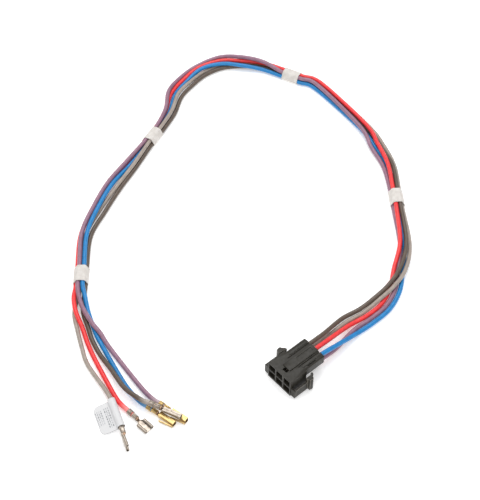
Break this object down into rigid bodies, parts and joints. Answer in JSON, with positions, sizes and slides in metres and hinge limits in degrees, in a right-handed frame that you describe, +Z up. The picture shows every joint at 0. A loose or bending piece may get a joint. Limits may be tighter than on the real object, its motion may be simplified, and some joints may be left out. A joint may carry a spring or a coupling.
{
  "type": "brake controller wiring harness",
  "caption": "Plug-in wiring harness for a trailer brake controller: multi-way side-latch plug, coloured leads bound with tape, crimped socket terminals and a flag label.",
  "frame": {"origin": "bottom centre of the plug, latches included, on the surface it stands on", "axes": "+Z up; the mating face looks towards -Y and the wires leave the plug towards +Y"},
  "size_m": [0.2268, 0.2591, 0.012],
  "materials": {
    "housing": "fine satin moulding",
    "wire_brown": "soft PVC",
    "wire_red": "soft PVC",
    "wire_blue": "soft PVC",
    "wire_gray": "soft PVC",
    "wire_purple": "soft PVC",
    "tin": "tinned sheet",
    "brass": "bright stamped sheet",
    "copper": "bare strands",
    "label": "coated label stock",
    "tape": "crepe tape"
  },
  "bodies": {
    "root": {"housing": "housing", "contact_brown": "tin", "contact_red": "tin", "contact_blue": "tin", "contact_gray": "tin", "contact_purple": "tin", "wire_brown": "wire_brown", "wire_red": "wire_red", "wire_blue": "wire_blue", "wire_gray": "wire_gray", "wire_purple": "wire_purple", "conductor_brown": "copper", "conductor_red": "copper", "conductor_blue": "copper", "conductor_gray": "copper", "conductor_purple": "copper", "terminal_brown": "tin", "terminal_red": "tin", "terminal_blue": "brass", "terminal_gray": "tin", "terminal_purple": "brass", "flag_label": "label", "tape_band_1": "tape", "tape_band_2": "tape", "tape_band_3": "tape", "tape_band_4": "tape"},
    "latch_left": {"latch_left": "housing"},
    "latch_right": {"latch_right": "housing"},
    "lance_blue": {"lance_blue": "brass"},
    "lance_purple": {"lance_purple": "brass"}
  },
  "joints": [
    {"name": "latch_left_press", "type": "hinge", "parent": "root", "child": "latch_left", "pos_m": [-0.0106, -0.01065, 0.0034], "axis": [0, 0, -1], "range_deg": [0, 8], "stiffness_Nm_per_rad": 0.02},
    {"name": "latch_right_press", "type": "hinge", "parent": "root", "child": "latch_right", "pos_m": [0.0106, -0.01065, 0.0034], "axis": [0, 0, 1], "range_deg": [0, 8], "stiffness_Nm_per_rad": 0.02},
    {"name": "lance_blue_flex", "type": "hinge", "parent": "root", "child": "lance_blue", "pos_m": [-0.01671, -0.06881, 0.00095], "axis": [0, 0, -1], "range_deg": [0, 8], "stiffness_Nm_per_rad": 0.005},
    {"name": "lance_purple_flex", "type": "hinge", "parent": "root", "child": "lance_purple", "pos_m": [-0.01421, -0.06311, 0.00095], "axis": [0, 0, -1], "range_deg": [0, 8], "stiffness_Nm_per_rad": 0.005}
  ]
}
